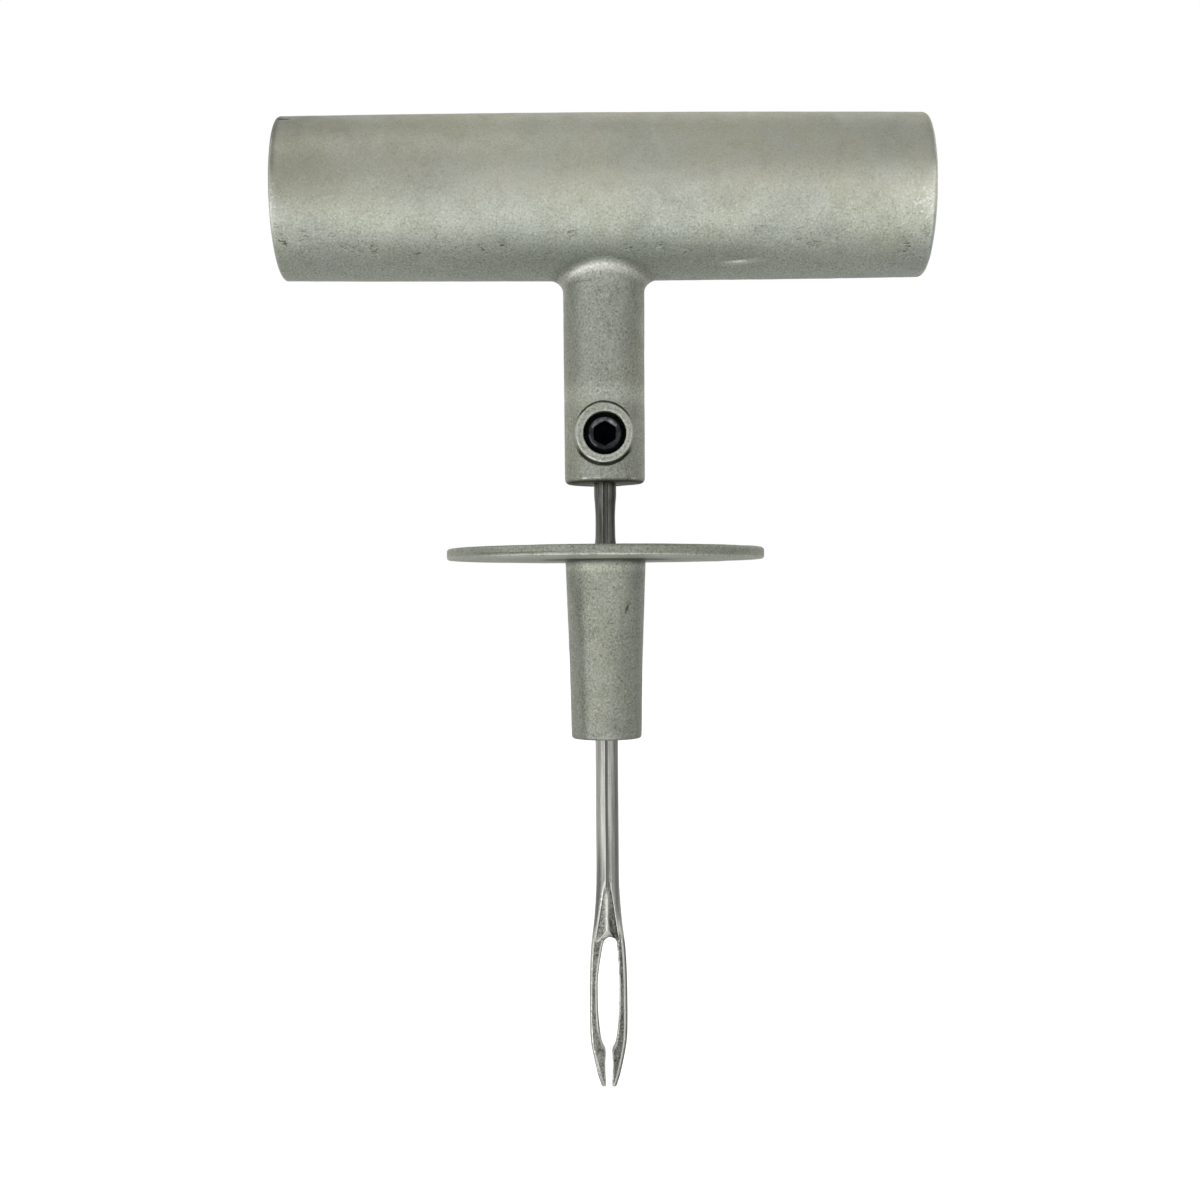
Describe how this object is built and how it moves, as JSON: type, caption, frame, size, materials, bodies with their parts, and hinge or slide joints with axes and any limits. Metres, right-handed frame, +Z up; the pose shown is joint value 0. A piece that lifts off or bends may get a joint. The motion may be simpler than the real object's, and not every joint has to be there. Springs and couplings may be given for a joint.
{
  "type": "tyre plug insertion tool",
  "caption": "T-handled hand tool that pushes a tyre plug through a puncture: split-eye needle clamped in a cast handle, with a sliding depth-stop collar.",
  "frame": {"origin": "on the needle's axis at the level of the tips, the tool's lowest point, midway along the bar", "axes": "+Z up the needle towards the handle, +X along the handle bar, -Y towards the set screw"},
  "size_m": [0.0996, 0.0492, 0.1508],
  "materials": {
    "cast_handle": "tumbled die casting, satin, faint olive cast",
    "black_screw": "black oxide, semi-gloss",
    "needle_steel": "bright drawn steel",
    "cast_collar": "tumbled die casting, satin, faint olive cast"
  },
  "bodies": {
    "handle": {"t_handle": "cast_handle"},
    "screw": {"set_screw": "black_screw"},
    "needle": {"needle": "needle_steel"},
    "collar": {"collar": "cast_collar"}
  },
  "joints": [
    {"name": "set_screw_turn", "type": "hinge", "parent": "handle", "child": "screw", "pos_m": [0, -0.00383, 0.1008], "axis": [0, -1, 0], "range_deg": [0, 720]},
    {"name": "needle_release", "type": "slide", "parent": "handle", "child": "needle", "axis": [0, 0, -1], "range_m": [0, 0.022]},
    {"name": "collar_slide", "type": "slide", "parent": "needle", "child": "collar", "axis": [0, 0, 1], "range_m": [-0.028, 0.0097]}
  ]
}
